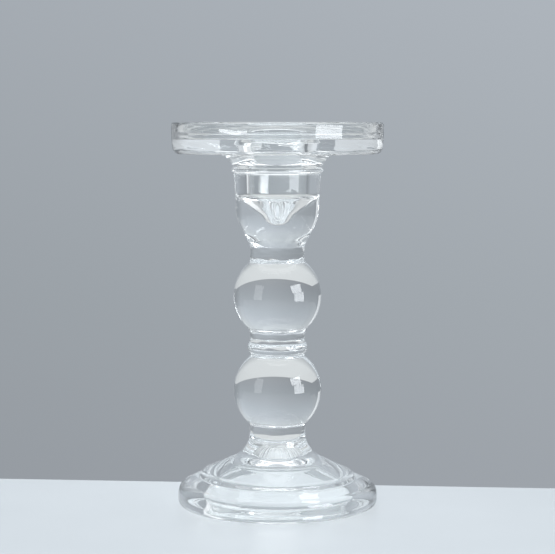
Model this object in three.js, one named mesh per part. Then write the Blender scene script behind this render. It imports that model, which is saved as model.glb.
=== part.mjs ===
// Clear glass candlestick for a taper or a pillar candle: turned pieces of glass, each fused to the next.
// Millimetres, +Z up. The origin is the centre of the foot's resting ring, on the table.
// Points of an outline are written [radius, height].
import * as THREE from "three";

const AROUND = 48; // flat sides of each turned piece
const CURVE_STEPS = 4; // straight steps along each curve of an outline; an arc gets twice as many

// Heights of the flat planes where one piece of glass is fused to the next, from the table up.
const level = {
  table: 0,
  footTop: 28,
  lowerBallFoot: 33.4,
  beadFoot: 62.4,
  beadTop: 67.8,
  upperBallFoot: 71.6,
  upperBallTop: 102.2,
  cupFoot: 107.2,
  cupRim: 139.8,
  plateFoot: 145.3,
  plateRim: 158.2,
};

const neckRadius = { lower: 11.6, bead: 11.1, waist: 11.4, upper: 11.3 };
const neckHollow = 0.2; // how far a neck draws in at its middle

const ball = {
  radius: 18.1,
  lowerCentre: 47.7,
  upperCentre: 86.8,
  footFillet: 1.2, // how far the ball stands out where its fillet begins
  topFillet: 0.2,
};

const bead = { radius: 12.4, foot: 0.8, widest: 2.7, topPull: 0.8 };

const foot = {
  // underside hollow, open to the table: a dimple in the middle, a flat crown and a bell-shaped wall
  dimpleTop: 24.0,
  dimplePull: 4.2,
  dimpleShoulder: [6.2, 20.6],
  dimpleFoot: [7.4, 17.8],
  crownPull: [7.9, 16.7],
  crownInner: [9.4, 16.3],
  crownBend: [15.8, 14.9],
  crownOuter: [17.6, 13.3],
  bellPull: [29.6, 5.8],
  bellFoot: [31.7, 0.4],
  // ring that stands on the table
  restInner: 32.3,
  restOuter: 39.2,
  // rounded flange
  radius: 41.3,
  edgePull: 0.2,
  edgeTop: 2.8,
  flangePull: [41.6, 8.4],
  flangeShoulder: [38, 9.3],
  ledgePull: [35, 11.0],
  ledge: [32.8, 11.2],
  // step and flared top
  stepFoot: [32, 11.9],
  stepTop: [31.9, 12.3],
  stepPull: [31.8, 13.6],
  flareFoot: [29.6, 13.9],
  flarePull: [24.8, 16.6],
  flareBend: [18.7, 19.3],
  neckPull: [13, 22.2],
};

const cup = {
  bowlPull: [12.4, 110.4],
  bowl: [14.0, 113.2],
  shoulderPull: [16.5, 117.4],
  shoulder: [16.85, 120.5],
  wallTop: [17.9, 137.0],
  lipFoot: [18.5, 137.9],
  lip: [18.8, 138.6],
  lipTop: [18.8, 139.3],
  seatRadius: 18.2,
  mouthRadius: 12.2, // socket for a 22 mm taper candle
  boreFoot: [12.0, 129.5],
  borePull: [11.95, 127.4],
  coneTop: [9.9, 126.6], // conical floor of the socket
  coneFoot: [3.5, 119.9],
  tipPull: 2.2,
  tip: 118.3,
};

const plate = {
  collarPull: [19.4, 143.2],
  collarRadius: 23.5,
  undersideRadius: 40.4,
  edgePull: 42.9,
  lowerEdge: [43.1, 148.2],
  radius: 43.5,
  edgeTop: 152.5,
  outerRounding: 1.3,
  innerRounding: 1.0,
  rimInner: 40.0,
  recessTop: 39.8,
  recessWallFoot: [39.3, 154.1],
  recessLedge: [38.5, 153.4],
  filletTop: [38.3, 152.4],
  recessRadius: 37.5, // flat floor, for a 75 mm pillar candle
  recessFloor: 151.5,
  holeRadius: 11.2,
  holeRounding: 1.0,
};

const clearGlass = { color: 0xdde8ec, roughness: 0.04, metalness: 0, transparent: true, opacity: 0.45 };

// Draws an outline onwards from its last point. A single point is reached by a straight line; a pair of
// points is a curve, written as the point that pulls it and then its end.
function draw(outline, ...moves) {
  for (const move of moves) {
    if (Array.isArray(move[0])) outline.quadraticCurveTo(...move[0], ...move[1]);
    else outline.lineTo(...move);
  }
  return outline;
}

function outlineFrom(...start) {
  return new THREE.Path().moveTo(...start);
}

// Turns a closed half outline, drawn from its foot outwards and up, about the part's vertical axis.
function turned(name, outline) {
  const points = outline.getPoints(CURVE_STEPS);
  const geometry = new THREE.LatheGeometry(points, AROUND);
  geometry.rotateX(Math.PI / 2); // the lathe's own axis is Y
  const mesh = new THREE.Mesh(geometry, new THREE.MeshStandardMaterial(clearGlass));
  mesh.name = name;
  return mesh;
}

// A ball with a flat at each end and a small fillet down to the neck below it.
function glassBall(name, centre, footHeight, footRadius, topHeight, topRadius) {
  const filletRadius = footRadius + ball.footFillet;
  const lowest = -Math.acos(filletRadius / ball.radius);
  const highest = Math.acos((topRadius + ball.topFillet) / ball.radius);
  const filletEnd = centre + ball.radius * Math.sin(lowest);
  const filletPull = [footRadius + ball.topFillet, (footHeight + filletEnd) / 2];
  const outline = outlineFrom(0, footHeight);
  draw(outline, [footRadius, footHeight], [filletPull, [filletRadius, filletEnd]]);
  outline.absarc(0, centre, ball.radius, lowest, highest, false);
  draw(outline, [topRadius, topHeight], [0, topHeight]);
  return turned(name, outline);
}

function neck(name, footHeight, footRadius, topHeight, topRadius) {
  const waist = [Math.min(footRadius, topRadius) - neckHollow, (footHeight + topHeight) / 2];
  const outline = outlineFrom(0, footHeight);
  draw(outline, [footRadius, footHeight], [waist, [topRadius, topHeight]], [0, topHeight]);
  return turned(name, outline);
}

function ringBead() {
  const foot = level.beadFoot;
  const outline = outlineFrom(0, foot);
  draw(
    outline,
    [neckRadius.bead, foot],
    [neckRadius.bead, foot + bead.foot],
    [[bead.radius, foot + bead.foot], [bead.radius, foot + bead.widest]],
    [[bead.radius, level.beadTop - bead.topPull], [neckRadius.waist, level.beadTop]],
    [0, level.beadTop],
  );
  return turned("ring_bead", outline);
}

function steppedFoot() {
  const outline = outlineFrom(0, foot.dimpleTop);
  draw(
    outline,
    [[foot.dimplePull, foot.dimpleTop], foot.dimpleShoulder],
    foot.dimpleFoot,
    [foot.crownPull, foot.crownInner],
    [foot.crownBend, foot.crownOuter],
    [foot.bellPull, foot.bellFoot],
    [foot.restInner, level.table],
    [foot.restOuter, level.table],
    [[foot.radius, foot.edgePull], [foot.radius, foot.edgeTop]],
    [foot.flangePull, foot.flangeShoulder],
    [foot.ledgePull, foot.ledge],
    foot.stepFoot,
    foot.stepTop,
    [foot.stepPull, foot.flareFoot],
    [foot.flarePull, foot.flareBend],
    [foot.neckPull, [neckRadius.lower, level.footTop]],
    [0, level.footTop],
  );
  return turned("stepped_foot", outline);
}

function candleCup() {
  const outline = outlineFrom(0, level.cupFoot);
  draw(
    outline,
    [neckRadius.upper, level.cupFoot],
    [cup.bowlPull, cup.bowl],
    [cup.shoulderPull, cup.shoulder],
    cup.wallTop,
    cup.lipFoot,
    cup.lip,
    cup.lipTop,
    [cup.seatRadius, level.cupRim],
    [cup.mouthRadius, level.cupRim],
    cup.boreFoot,
    [cup.borePull, cup.coneTop],
    cup.coneFoot,
    [[cup.tipPull, cup.tip], [0, cup.tip]],
  );
  return turned("candle_cup", outline);
}

function plateCollar() {
  const outline = outlineFrom(cup.mouthRadius, level.cupRim);
  draw(
    outline,
    [cup.seatRadius, level.cupRim],
    [plate.collarPull, [plate.collarRadius, level.plateFoot]],
    [plate.holeRadius, level.plateFoot],
    [cup.mouthRadius, level.cupRim],
  );
  return turned("plate_collar", outline);
}

function pillarPlate() {
  const outline = outlineFrom(plate.holeRadius, level.plateFoot);
  draw(
    outline,
    [plate.undersideRadius, level.plateFoot],
    [[plate.edgePull, level.plateFoot], plate.lowerEdge],
    [plate.radius, plate.edgeTop],
    [plate.radius, level.plateRim - plate.outerRounding],
    [[plate.radius, level.plateRim], [plate.radius - plate.outerRounding, level.plateRim]],
    [plate.rimInner + plate.innerRounding, level.plateRim],
    [[plate.rimInner, level.plateRim], [plate.recessTop, level.plateRim - plate.innerRounding]],
    plate.recessWallFoot,
    plate.recessLedge,
    plate.filletTop,
    [[plate.filletTop[0], plate.recessFloor], [plate.recessRadius, plate.recessFloor]],
    [plate.holeRadius + plate.holeRounding, plate.recessFloor],
    [plate.holeRadius, plate.recessFloor - plate.holeRounding],
    [plate.holeRadius, level.plateFoot],
  );
  return turned("pillar_plate", outline);
}

const candlestick = new THREE.Group();
candlestick.add(
  steppedFoot(),
  neck("lower_neck", level.footTop, neckRadius.lower, level.lowerBallFoot, neckRadius.lower),
  glassBall(
    "lower_ball",
    ball.lowerCentre,
    level.lowerBallFoot,
    neckRadius.lower,
    level.beadFoot,
    neckRadius.bead,
  ),
  ringBead(),
  neck("waist_neck", level.beadTop, neckRadius.waist, level.upperBallFoot, neckRadius.waist),
  glassBall(
    "upper_ball",
    ball.upperCentre,
    level.upperBallFoot,
    neckRadius.waist,
    level.upperBallTop,
    neckRadius.upper,
  ),
  neck("upper_neck", level.upperBallTop, neckRadius.upper, level.cupFoot, neckRadius.upper),
  candleCup(),
  plateCollar(),
  pillarPlate(),
);

export default candlestick;
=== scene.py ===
"""The look of a clear glass candlestick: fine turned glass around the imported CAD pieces, on a pale table."""

import math

import bpy
import numpy as np
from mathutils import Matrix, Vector


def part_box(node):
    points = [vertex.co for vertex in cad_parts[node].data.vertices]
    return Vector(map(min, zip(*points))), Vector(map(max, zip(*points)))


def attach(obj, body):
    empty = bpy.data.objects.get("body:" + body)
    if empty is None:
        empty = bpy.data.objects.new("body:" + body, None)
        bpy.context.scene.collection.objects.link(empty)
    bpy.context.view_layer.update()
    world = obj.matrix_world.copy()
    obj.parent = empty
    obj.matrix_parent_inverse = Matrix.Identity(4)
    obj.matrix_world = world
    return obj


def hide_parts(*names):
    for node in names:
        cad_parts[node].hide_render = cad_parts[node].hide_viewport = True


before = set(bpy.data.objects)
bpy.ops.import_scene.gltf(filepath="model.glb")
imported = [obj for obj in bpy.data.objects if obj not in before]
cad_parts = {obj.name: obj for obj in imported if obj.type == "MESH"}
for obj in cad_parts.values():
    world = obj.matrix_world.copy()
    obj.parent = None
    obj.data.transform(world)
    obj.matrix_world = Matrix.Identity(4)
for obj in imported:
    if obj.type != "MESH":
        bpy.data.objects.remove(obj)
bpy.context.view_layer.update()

MM = 0.001
AROUND = 192  # flat sides of each turned piece, fine enough to look round
STEP = 0.35  # longest edge along an outline, in millimetres
TINY = 1e-9  # lengths below this count as nothing
GLASS, JOINT, MARK = 0, 1, 2  # material numbers of a piece's faces


# ---------------------------------------------------------------- sizes, in millimetres, from the CAD frame


def node_size(node):
    """(radius, lowest height, highest height) of a turned CAD node."""
    low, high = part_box(node)
    return (high.x - low.x) / 2 / MM, low.z / MM, high.z / MM


foot_radius, table, foot_top = node_size("stepped_foot")
lower_neck_radius, _, lower_ball_foot = node_size("lower_neck")
lower_ball_radius, _, bead_foot = node_size("lower_ball")
bead_radius, _, bead_top = node_size("ring_bead")
waist_radius, _, upper_ball_foot = node_size("waist_neck")
upper_ball_radius, _, upper_ball_top = node_size("upper_ball")
upper_neck_radius, _, cup_foot = node_size("upper_neck")
cup_radius, _, cup_rim = node_size("candle_cup")
collar_radius, _, plate_foot = node_size("plate_collar")
plate_radius, _, plate_rim = node_size("pillar_plate")

# Radii and heights inside the pieces, which the nodes' boxes don't give.
DIMPLE_TOP = 24.0  # frosted dimple in the middle of the hollow under the foot
LOWER_BALL_CENTRE = 47.7
UPPER_BALL_CENTRE = 86.8
BALL_FILLET = 1.2  # how far a ball stands out where the fillet at its foot begins
BALL_STEP = 0.2  # how far a ball stands out from the neck above it
NECK_HOLLOW = 0.2  # how far a neck draws in at its middle
BEAD_NECK_RADIUS = 11.1
SOCKET_TIP = 118.3  # lowest point of the taper candle's socket
MOUTH_RADIUS = 12.2  # mouth of the socket
SEAT_RADIUS = 18.2  # where the collar sits on the cup's rim
HOLE_RADIUS = 11.2  # hole through the plate
HOLE_ROUNDING = 1
RECESS_FLOOR = 151.5  # where a pillar candle stands
RIM_ROUNDING = 1.3

# How far the glass strays from its outlines.
OUT_OF_ROUND = (
    # lobes around, how far each stands out, their turn for each millimetre up, and where they start
    (2, 0.05, 0.05, 0),
    (3, 0.03, -0.11, 1.3),
    (5, 0.02, 0.23, 0.4),
)
JOINT_WAVE = 0.09
EDGE_FLUTE = 0.04  # on the lower half of the plate's edge
UNDERSIDE_WAVE = 0.14
FOOT_LEAN = 0.014  # fall of the foot's dome for each millimetre towards +X


# ---------------------------------------------------------------- outlines of turned glass


class Outline:
    """Half outline of a turned piece: points of radius and height, with the kind of surface between them."""

    def __init__(self, radius, height):
        self.points = [(radius, height)]
        self.kinds = []

    def _add(self, points, kind):
        self.points += points
        self.kinds += [kind] * len(points)
        return self

    def line(self, radius, height, kind=GLASS):
        start = self.points[-1]
        length = math.dist(start, (radius, height))
        steps = 1 if kind == JOINT else max(1, math.ceil(length / STEP))
        shares = [i / steps for i in range(1, steps + 1)]
        points = [
            (start[0] + (radius - start[0]) * t, start[1] + (height - start[1]) * t)
            for t in shares
        ]
        return self._add(points, kind)

    def curve(self, pull_radius, pull_height, radius, height, kind=GLASS):
        """A smooth bend from the last point to this one, drawn towards the pull point."""
        start, pull, end = self.points[-1], (pull_radius, pull_height), (radius, height)
        steps = max(4, math.ceil((math.dist(start, pull) + math.dist(pull, end)) / STEP))
        points = []
        for i in range(1, steps + 1):
            t = i / steps
            weights = ((1 - t) ** 2, 2 * t * (1 - t), t * t)
            points.append(
                tuple(sum(w * p[k] for w, p in zip(weights, (start, pull, end))) for k in (0, 1))
            )
        return self._add(points, kind)

    def arc(self, centre, radius, lowest, highest):
        """An arc round a centre on the axis, between two angles above the level, in radians."""
        steps = math.ceil(radius * abs(highest - lowest) / STEP)
        angles = [lowest + (highest - lowest) * i / steps for i in range(steps + 1)]
        points = [(radius * math.cos(a), centre + radius * math.sin(a)) for a in angles]
        return self._add(points, GLASS)


def share(value, none, full):
    """How far each value has come from the place of none to the place of full, from 0 to 1."""
    return np.clip((value - none) / (full - none), 0, 1)


def uneven(points):
    """Moves points, in millimetres, by the slight unevenness of pressed and hand-finished glass."""
    x, y, z = points[:, 0], points[:, 1], points[:, 2]
    radius = np.hypot(x, y)
    angle = np.arctan2(y, x)

    # Every piece is a little out of round, the joints are wavy, and the plate's rim is the most even.
    swell = sum(
        depth * np.sin(lobes * angle + turn * z + start) for lobes, depth, turn, start in OUT_OF_ROUND
    )
    for joint in (cup_foot, upper_ball_top, upper_ball_foot, bead_top, bead_foot, lower_ball_foot):
        wave = np.sin(7 * angle + joint) * np.sin(2.1 * (z - joint) + 3 * angle)
        swell += JOINT_WAVE * np.exp(-(((z - joint) / 1.6) ** 2)) * wave
    rim_share = share(radius, 32, 37) * share(z, 142, 145)
    swell *= share(radius, 0, 20) * (1 - 0.9 * rim_share)

    # Shallow flutes run down the lower half of the plate's edge.
    lower_wall = share(radius, 36, 41) * share(z, 151, 149) * share(z, 143, 145)
    swell += EDGE_FLUTE * lower_wall * np.sin(13 * angle + 1.3 * z)
    scale = 1 + swell / np.maximum(radius, 1)

    # The plate's underside is wavy, and the dome of the foot leans.
    underside = share(z, 147, 146) * share(z, 144, 145) * share(radius, 20, 24)
    wave = np.sin(0.62 * x + 0.2 * y) * np.sin(0.55 * y - 0.17 * x + 0.7)
    lift = UNDERSIDE_WAVE * underside * wave
    lift -= FOOT_LEAN * x * share(z, 0, 13) * share(z, 26, 18) * share(radius, 12, 20)
    return np.column_stack((x * scale, y * scale, z + lift))


def rings_around(profile):
    """Turns outline points about the vertical axis: (vertices, the vertex numbers of each point's ring)."""
    angles = np.arange(AROUND) * 2 * math.pi / AROUND
    vertices, rings = [], []
    for radius, height in profile:
        first = len(vertices)
        if radius < TINY:
            vertices.append((0.0, 0.0, height))
            rings.append([first] * AROUND)
        else:
            vertices += [(radius * math.cos(a), radius * math.sin(a), height) for a in angles]
            rings.append(list(range(first, first + AROUND)))
    return vertices, rings


def faces_between(low, high):
    """Faces that join two rings. Next to a ring on the axis they are triangles."""
    faces = []
    for j in range(AROUND):
        k = (j + 1) % AROUND
        corners = (low[j], low[k], high[k], high[j])
        faces.append(tuple(dict.fromkeys(corners)))
    return faces


def mark_sharp_rings(mesh, rings, kinds):
    """Marks as sharp each ring where one kind of surface meets another."""
    seams = [i for i, kind in enumerate(kinds) if kind != kinds[i - 1]]
    ring_of = {v: i for i in seams for v in rings[i]}
    sharp = [
        ring_of.get(e.vertices[0], -1) == ring_of.get(e.vertices[1], -2) for e in mesh.edges
    ]
    mesh.attributes.new("sharp_edge", "BOOLEAN", "EDGE").data.foreach_set("value", sharp)


def turned_piece(name, outline):
    """Turns an outline that closes, or ends on the axis, into a mesh piece for the CAD node of that name."""
    profile = list(outline.points)
    if math.dist(profile[0], profile[-1]) < TINY:
        profile.pop()
    vertices, rings = rings_around(profile)
    faces = []
    for i in range(len(outline.kinds)):
        faces += faces_between(rings[i], rings[(i + 1) % len(rings)])
    mesh = bpy.data.meshes.new(name)
    mesh.from_pydata((uneven(np.array(vertices)) * MM).tolist(), [], faces)
    mesh.polygons.foreach_set("material_index", np.repeat(outline.kinds, AROUND))
    mesh.shade_smooth()
    mark_sharp_rings(mesh, rings, outline.kinds)
    mesh.update()
    piece = bpy.data.objects.new(name + "_glass", mesh)
    bpy.context.scene.collection.objects.link(piece)
    return piece


# ---------------------------------------------------------------- materials


def new_material(name, shader_type):
    """A material with a single shader joined to its output: (material, node tree, shader)."""
    material = bpy.data.materials.new(name)
    material.use_nodes = True
    tree = material.node_tree
    tree.nodes.clear()
    output = tree.nodes.new("ShaderNodeOutputMaterial")
    shader = tree.nodes.new(shader_type)
    tree.links.new(shader.outputs[0], output.inputs["Surface"])
    return material, tree, shader


def ramp_node(tree, stops, value):
    """A colour ramp over a value, with (position, colour) stops."""
    ramp = tree.nodes.new("ShaderNodeValToRGB")
    elements = ramp.color_ramp.elements
    while len(elements) < len(stops):
        elements.new(0.5)
    for element, (position, colour) in zip(elements, stops):
        element.position = position
        element.color = (*colour, 1)
    tree.links.new(value, ramp.inputs["Fac"])
    return ramp.outputs["Color"]


def map_range(tree, value, start, end):
    """A value mapped from this range to between 0 and 1."""
    mapped = tree.nodes.new("ShaderNodeMapRange")
    mapped.inputs["From Min"].default_value = start
    mapped.inputs["From Max"].default_value = end
    tree.links.new(value, mapped.inputs["Value"])
    return mapped.outputs["Result"]


def place_on_object(tree):
    return tree.nodes.new("ShaderNodeTexCoord").outputs["Object"]


def noise_node(tree, place, scale, detail):
    noise = tree.nodes.new("ShaderNodeTexNoise")
    noise.inputs["Scale"].default_value = scale
    noise.inputs["Detail"].default_value = detail
    tree.links.new(place, noise.inputs["Vector"])
    return noise.outputs["Fac"]


def glass_material(name, roughness, transmission):
    """Crystal glass of this roughness and clearness: (material, node tree, shader)."""
    material, tree, shader = new_material(name, "ShaderNodeBsdfPrincipled")
    shader.inputs["Base Color"].default_value = (0.985, 0.995, 0.992, 1)
    shader.inputs["Roughness"].default_value = roughness
    shader.inputs["IOR"].default_value = 1.5
    shader.inputs["Transmission Weight"].default_value = transmission
    return material, tree, shader


def add_bump(tree, shader, height, depth):
    """Raises the shader's surface by a height map, to a depth in metres."""
    bump = tree.nodes.new("ShaderNodeBump")
    bump.inputs["Strength"].default_value = 1.0
    bump.inputs["Distance"].default_value = depth
    tree.links.new(height, bump.inputs["Height"])
    tree.links.new(bump.outputs["Normal"], shader.inputs["Normal"])


def clear_glass():
    """Fire-polished crystal glass: clear, smooth, with faint ripples."""
    material, tree, shader = glass_material("clear_glass", roughness=0.0, transmission=1.0)
    ripples = noise_node(tree, place_on_object(tree), scale=90, detail=1)
    add_bump(tree, shader, ripples, 0.015 * MM)
    return material


def fused_joint():
    """The plane where two pieces are fused: nothing is seen of it, because both sides are the same glass."""
    material, _, _ = new_material("fused_joint", "ShaderNodeBsdfTransparent")
    return material


def pressed_mark():
    """The frosted mark left in the dimple under the foot, with fine streaks that run down its wall."""
    material, tree, shader = glass_material("pressed_mark", roughness=0.4, transmission=0.7)
    level = tree.nodes.new("ShaderNodeVectorMath")
    level.operation = "MULTIPLY"
    level.inputs[1].default_value = (1, 1, 0)
    outwards = tree.nodes.new("ShaderNodeVectorMath")
    outwards.operation = "NORMALIZE"
    tree.links.new(place_on_object(tree), level.inputs[0])
    tree.links.new(level.outputs["Vector"], outwards.inputs[0])
    streaks = noise_node(tree, outwards.outputs["Vector"], scale=9, detail=2)
    add_bump(tree, shader, streaks, 0.6 * MM)
    return material


def table_top():
    """Smooth pale table, cool white, with a soft sheen and a faint unevenness of tone."""
    material, tree, shader = new_material("table_top", "ShaderNodeBsdfPrincipled")
    shader.inputs["Roughness"].default_value = 0.22
    tone = noise_node(tree, place_on_object(tree), scale=14, detail=2)
    colour = ramp_node(tree, [(0.3, (0.665, 0.7, 0.725)), (0.7, (0.69, 0.725, 0.75))], tone)
    tree.links.new(colour, shader.inputs["Base Color"])
    return material


def glowing_floor_with_painted_shade():
    """A floor that glows by itself in place of lamp light, darker at its near end with a painted shade of the
    table, and lighter towards its far end.
    """
    material, tree, shader = new_material("glowing_floor_with_painted_shade", "ShaderNodeEmission")
    parts = tree.nodes.new("ShaderNodeSeparateXYZ")
    tree.links.new(place_on_object(tree), parts.inputs["Vector"])
    # painted shade: the glow is dark near the table and pale far off, as if the table shaded the floor
    depth = map_range(tree, parts.outputs["Y"], 0.1, 0.9)
    tone = ramp_node(tree, [(0, (0.25, 0.27, 0.29)), (1, (0.69, 0.72, 0.735))], depth)
    tree.links.new(tone, shader.inputs["Color"])
    return material


# ---------------------------------------------------------------- pieces of the candlestick


def short_neck(name, low, high, radius):
    outline = Outline(0, low).line(radius, low, JOINT)
    outline.curve(radius - NECK_HOLLOW, (low + high) / 2, radius, high).line(0, high, JOINT)
    return turned_piece(name, outline)


def glass_ball(name, centre, radius, low, low_radius, high, high_radius):
    """A solid ball with a flat at each end and a small fillet down to the neck below it."""
    fillet_radius = low_radius + BALL_FILLET
    lowest = -math.acos(fillet_radius / radius)
    highest = math.acos((high_radius + BALL_STEP) / radius)
    fillet_end = centre + radius * math.sin(lowest)
    outline = Outline(0, low).line(low_radius, low, JOINT)
    outline.curve(low_radius + BALL_STEP, (low + fillet_end) / 2, fillet_radius, fillet_end)
    outline.arc(centre, radius, lowest, highest)
    outline.line(high_radius, high).line(0, high, JOINT)
    return turned_piece(name, outline)


def ring_bead():
    outline = Outline(0, bead_foot).line(BEAD_NECK_RADIUS, bead_foot, JOINT)
    outline.curve(BEAD_NECK_RADIUS - 0.2, bead_foot + 0.5, BEAD_NECK_RADIUS + 0.1, bead_foot + 0.8)
    outline.curve(bead_radius - 0.2, bead_foot + 1.2, bead_radius, bead_foot + 2.7)
    outline.curve(bead_radius - 0.1, bead_top - 0.8, waist_radius, bead_top)
    outline.line(0, bead_top, JOINT)
    return turned_piece("ring_bead", outline)


def stepped_foot():
    outline = Outline(0, DIMPLE_TOP)
    # the hollow underneath: the frosted dimple, the flat crown and the bell-shaped wall
    outline.curve(4.2, DIMPLE_TOP, 6.2, 20.6, MARK).line(7.4, 17.8, MARK)
    outline.curve(7.9, 16.7, 9.4, 16.3).curve(15.8, 14.9, 17.6, 13.3)
    outline.curve(29.6, 5.8, 31.7, table + 0.4)
    # the ring that stands on the table, and the rounded flange
    outline.curve(31.9, table, 32.3, table).line(39.2, table)
    outline.curve(foot_radius, 0.2, foot_radius, 2.8)
    outline.curve(foot_radius + 0.3, 8.4, 38, 9.3)
    # the ledge, the step and the flared top
    outline.curve(35, 11.0, 32.8, 11.2).curve(32.05, 11.2, 32, 11.9)
    outline.line(31.9, 12.3).curve(31.8, 13.6, 29.6, 13.9)
    outline.curve(24.8, 16.6, 18.7, 19.3).curve(13, 22.2, lower_neck_radius, foot_top)
    outline.line(0, foot_top, JOINT)
    return turned_piece("stepped_foot", outline)


def candle_cup():
    outline = Outline(0, cup_foot).line(upper_neck_radius, cup_foot, JOINT)
    # the bowl, the tapered wall and the lip
    outline.curve(12.4, 110.4, 14.0, 113.2).curve(16.5, 117.4, 16.85, 120.5).line(17.9, 137.0)
    outline.curve(18.0, 137.7, 18.5, 137.9).curve(cup_radius, 138.1, cup_radius, 138.6)
    outline.curve(cup_radius, 139.5, SEAT_RADIUS, cup_rim)
    outline.line(MOUTH_RADIUS, cup_rim, JOINT)
    # the socket and its conical floor
    outline.line(12.0, 129.5).curve(11.95, 127.4, 9.9, 126.6).line(3.5, 119.9)
    outline.curve(2.2, SOCKET_TIP, 0, SOCKET_TIP)
    return turned_piece("candle_cup", outline)


def plate_collar():
    outline = Outline(MOUTH_RADIUS, cup_rim).line(SEAT_RADIUS, cup_rim, JOINT)
    outline.curve(19.4, 143.2, collar_radius, plate_foot)
    outline.line(HOLE_RADIUS, plate_foot, JOINT).line(MOUTH_RADIUS, cup_rim)
    return turned_piece("plate_collar", outline)


def pillar_plate():
    outline = Outline(HOLE_RADIUS, plate_foot).line(collar_radius, plate_foot, JOINT)
    # the underside and the outer edge
    outline.line(40.4, plate_foot).curve(42.9, plate_foot, 43.1, 148.2)
    outline.curve(43.45, 150.5, plate_radius, 152.5).line(plate_radius, plate_rim - RIM_ROUNDING)
    outline.curve(plate_radius, plate_rim, plate_radius - RIM_ROUNDING, plate_rim)
    # the rim's inside, down a small ledge to the floor of the recess
    outline.line(41.0, plate_rim).curve(40.0, plate_rim, 39.8, plate_rim - 1)
    outline.line(39.3, 154.1).curve(39.2, 153.6, 38.9, 153.5).curve(38.5, 153.4, 38.4, 152.6)
    outline.curve(38.3, RECESS_FLOOR, 37.5, RECESS_FLOOR)
    # the floor and the hole
    outline.line(HOLE_RADIUS + HOLE_ROUNDING, RECESS_FLOOR)
    outline.curve(HOLE_RADIUS, RECESS_FLOOR, HOLE_RADIUS, RECESS_FLOOR - HOLE_ROUNDING)
    outline.line(HOLE_RADIUS, plate_foot)
    return turned_piece("pillar_plate", outline)


def make_candlestick():
    materials = (clear_glass(), fused_joint(), pressed_mark())  # in the order of GLASS, JOINT, MARK
    pieces = {
        "stepped_foot": stepped_foot(),
        "lower_neck": short_neck("lower_neck", foot_top, lower_ball_foot, lower_neck_radius),
        "lower_ball": glass_ball(
            "lower_ball", LOWER_BALL_CENTRE, lower_ball_radius,
            lower_ball_foot, lower_neck_radius, bead_foot, BEAD_NECK_RADIUS,
        ),
        "ring_bead": ring_bead(),
        "waist_neck": short_neck("waist_neck", bead_top, upper_ball_foot, waist_radius),
        "upper_ball": glass_ball(
            "upper_ball", UPPER_BALL_CENTRE, upper_ball_radius,
            upper_ball_foot, waist_radius, upper_ball_top, upper_neck_radius,
        ),
        "upper_neck": short_neck("upper_neck", upper_ball_top, cup_foot, upper_neck_radius),
        "candle_cup": candle_cup(),
        "plate_collar": plate_collar(),
        "pillar_plate": pillar_plate(),
    }
    for node, piece in pieces.items():
        for material in materials:
            piece.data.materials.append(material)
        piece.visible_shadow = False
        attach(piece, "root")
        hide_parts(node)
    return pieces


# ---------------------------------------------------------------- stage, in metres

STAGE_TURN = math.radians(-5)  # turn of the table and the room's floor about the vertical
TABLE_WIDTH, TABLE_DEPTH, TABLE_THICKNESS = 1.3, 0.9, 0.018
BEHIND_FOOT = 0.0006  # from the foot to the table's far edge
BELOW_FOOT = 0.00005  # keeps the table's top clear of the glass that stands on it


def make_table():
    """A pale table whose far edge runs just behind the foot."""
    mesh = bpy.data.meshes.new("table_top")
    corners = ((-1, -1), (1, -1), (1, 1), (-1, 1))
    vertices = [
        (x * TABLE_WIDTH / 2, y * TABLE_DEPTH / 2, z) for z in (-TABLE_THICKNESS, 0) for x, y in corners
    ]
    faces = [(3, 2, 1, 0), (4, 5, 6, 7)]
    faces += [(i, (i + 1) % 4, (i + 1) % 4 + 4, i + 4) for i in range(4)]
    mesh.from_pydata(vertices, [], faces)
    top = bpy.data.objects.new("table_top", mesh)
    bpy.context.scene.collection.objects.link(top)
    away = Vector((-math.sin(STAGE_TURN), math.cos(STAGE_TURN), 0))
    top.rotation_euler = (0, 0, STAGE_TURN)
    far_edge = foot_radius * MM + BEHIND_FOOT
    top.location = away * (far_edge - TABLE_DEPTH / 2) + Vector((0, 0, -BELOW_FOOT))
    edge = top.modifiers.new("edge", "BEVEL")
    edge.width, edge.segments = 0.0015, 4
    top.data.materials.append(table_top())
    return top


def make_room_floor():
    """The pale floor of the room, far below the table, and as far back as the foot of the backdrop."""
    left, right, front, back, height = -2.4, 4, -5, 2.25, -0.75
    mesh = bpy.data.meshes.new("glowing_floor_with_painted_shade")
    vertices = [(left, front, 0), (right, front, 0), (right, back, 0), (left, back, 0)]
    mesh.from_pydata(vertices, [], [(0, 1, 2, 3)])
    floor = bpy.data.objects.new("glowing_floor_with_painted_shade", mesh)
    bpy.context.scene.collection.objects.link(floor)
    floor.location.z = height
    floor.rotation_euler.z = STAGE_TURN
    floor.data.materials.append(glowing_floor_with_painted_shade())


# ---------------------------------------------------------------- backdrop and lights

# Backdrop's tone by degrees above the level.
RISING_TONE = (
    (-20, (0.315, 0.335, 0.36)),
    (-11, (0.325, 0.352, 0.385)),
    (-5.7, (0.345, 0.378, 0.41)),
    (3, (0.395, 0.43, 0.47)),
    (10, (0.43, 0.475, 0.52)),
    (20, (0.48, 0.525, 0.575)),
    (30, (0.53, 0.58, 0.62)),
    (48, (0.55, 0.60, 0.64)),
    (70, (0.5, 0.55, 0.60)),
    (76, (0.8, 0.84, 0.88)),
)
# Backdrop's brightness from the far left, 0, to the far right, 1.
SIDE_BRIGHTNESS = ((0, 0.45), (0.12, 0.8), (0.42, 0.94), (0.58, 1.06), (0.86, 1.06), (1, 0.5))

WHITE = (1, 1, 1)
WINDOW_BLUE = (0.93, 0.97, 1)
PALE_BLUE = (0.95, 0.98, 1)
WALL_BLUE = (0.97, 0.99, 1)
PANEL_TARGET = Vector((0, 0, 0.08))  # about half-way up the candlestick


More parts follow.
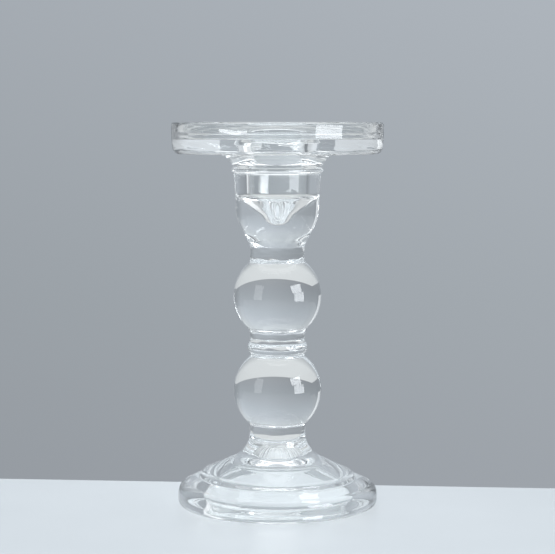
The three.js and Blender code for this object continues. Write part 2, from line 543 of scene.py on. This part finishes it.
def make_world():
    """A grey studio backdrop, lighter towards its top."""
    world = bpy.data.worlds.new("studio")
    world.use_nodes = True
    tree = world.node_tree
    tree.nodes.clear()
    output = tree.nodes.new("ShaderNodeOutputWorld")
    background = tree.nodes.new("ShaderNodeBackground")
    place = tree.nodes.new("ShaderNodeTexCoord")
    parts = tree.nodes.new("ShaderNodeSeparateXYZ")
    tree.links.new(place.outputs["Generated"], parts.inputs["Vector"])
    rise = map_range(tree, parts.outputs["Z"], -1, 1)
    across = map_range(tree, parts.outputs["X"], -1, 1)
    height_stops = [((math.sin(math.radians(degrees)) + 1) / 2, tone) for degrees, tone in RISING_TONE]
    side_stops = [(position, (brightness,) * 3) for position, brightness in SIDE_BRIGHTNESS]
    colour = tree.nodes.new("ShaderNodeVectorMath")
    colour.operation = "MULTIPLY"
    tree.links.new(ramp_node(tree, height_stops, rise), colour.inputs[0])
    tree.links.new(ramp_node(tree, side_stops, across), colour.inputs[1])
    tree.links.new(colour.outputs["Vector"], background.inputs["Color"])
    tree.links.new(background.outputs["Background"], output.inputs["Surface"])
    bpy.context.scene.world = world


def make_panel(name, azimuth, elevation, distance, width, height, radiance, colour):
    """A rectangular studio light that faces the target. Azimuth 0 is the camera's side and 90 is +X."""
    light = bpy.data.lights.new(name, "AREA")
    light.shape = "RECTANGLE"
    light.size, light.size_y = width, height
    light.energy = radiance * math.pi * width * height
    light.color = colour
    panel = bpy.data.objects.new(name, light)
    bpy.context.scene.collection.objects.link(panel)
    a, e = math.radians(azimuth), math.radians(elevation)
    away = Vector((math.sin(a) * math.cos(e), -math.cos(a) * math.cos(e), math.sin(e)))
    panel.location = PANEL_TARGET + away * distance
    panel.rotation_mode = "QUATERNION"
    panel.rotation_quaternion = away.to_track_quat("Z", "Y")
    panel.visible_camera = False
    return panel


def share_light(panel, pieces, state):
    """Lets a panel light these pieces alone (INCLUDE), or all but these pieces (EXCLUDE)."""
    receivers = bpy.data.collections.new(panel.name + "_receivers")
    for piece in pieces:
        receivers.objects.link(piece)
    for member in receivers.collection_objects:
        member.light_linking.link_state = state
    panel.light_linking.receiver_collection = receivers


def make_lights(pieces, table_piece):
    """Windows to the right and left, wings behind the plate, a wall, and panels overhead."""
    aside_nodes = ("pillar_plate", "candle_cup", "upper_neck", "waist_neck", "lower_neck")
    aside = [pieces[node] for node in aside_nodes] + [table_piece]
    aside_and_foot = aside + [pieces["stepped_foot"]]
    cup, plate = [pieces["candle_cup"]], [pieces["pillar_plate"]]
    linked_panels = (
        # pieces, link state, name, azimuth, elevation, distance, width, height, radiance, colour
        (aside, "EXCLUDE", "right_window_high", 53, 21, 0.5, 0.26, 0.16, 10, WINDOW_BLUE),
        (aside_and_foot, "EXCLUDE", "right_window_low", 58, 1, 0.5, 0.26, 0.17, 9, WINDOW_BLUE),
        (aside, "EXCLUDE", "left_window", -52, 11, 0.5, 0.2, 0.3, 2.2, PALE_BLUE),
        (cup, "INCLUDE", "cup_window_right", 59, 19.25, 0.518, 0.35, 0.29, 10, WINDOW_BLUE),
        (cup, "INCLUDE", "cup_window_left", -47, 5.5, 0.482, 0.257, 0.052, 9, PALE_BLUE),
        (plate, "INCLUDE", "plate_window_right", 54.7, 8.6, 0.5, 0.27, 0.09, 9, WINDOW_BLUE),
        (plate, "INCLUDE", "plate_window_left", -46.5, 8.13, 0.5, 0.27, 0.0024, 11, PALE_BLUE),
        (plate, "INCLUDE", "plate_overhead", 0, 88, 0.9, 1.2, 1.2, 1.3, WHITE),
        (plate, "INCLUDE", "plate_wing_left", -132, 3.8, 0.9, 0.94, 0.25, 0.34, PALE_BLUE),
        (plate, "INCLUDE", "plate_wing_right", 132, 3.8, 0.9, 0.94, 0.25, 0.34, PALE_BLUE),
    )
    for linked, state, *panel_values in linked_panels:
        share_light(make_panel(*panel_values), linked, state)
    left_wall = make_panel("left_wall", -103, 18, 1.2, 0.8, 0.9, 0.62, WALL_BLUE)
    left_wall.visible_glossy = False
    overhead = make_panel("overhead", 0, 88, 0.9, 0.9, 0.9, 2.8, WHITE)
    overhead.visible_glossy = False
    overhead.visible_transmission = False


# ---------------------------------------------------------------- camera and render settings

CAMERA_DISTANCE, CAMERA_HEIGHT = 0.744, 0.1595  # metres
CAMERA_TILT = 4.99  # degrees down from the level
CAMERA_LENS, SENSOR_WIDTH = 117.5, 36  # millimetres


def make_camera():
    camera = bpy.data.cameras.new("camera")
    camera.sensor_width = SENSOR_WIDTH
    camera.lens = CAMERA_LENS
    holder = bpy.data.objects.new("camera", camera)
    bpy.context.scene.collection.objects.link(holder)
    holder.location = (0, -CAMERA_DISTANCE, CAMERA_HEIGHT)
    holder.rotation_euler = (math.radians(90 - CAMERA_TILT), 0, 0)
    bpy.context.scene.camera = holder


def set_render():
    """Plain tones, and enough bounces for light to pass through all the glass."""
    scene = bpy.context.scene
    scene.view_settings.view_transform = "Standard"
    scene.cycles.max_bounces = 32
    scene.cycles.transmission_bounces = 32
    scene.cycles.glossy_bounces = 12
    scene.cycles.transparent_max_bounces = 64
    scene.cycles.sample_clamp_indirect = 6
    scene.cycles.use_denoising = True


make_camera()
glass_pieces = make_candlestick()
table_piece = make_table()
make_room_floor()
make_world()
make_lights(glass_pieces, table_piece)
set_render()
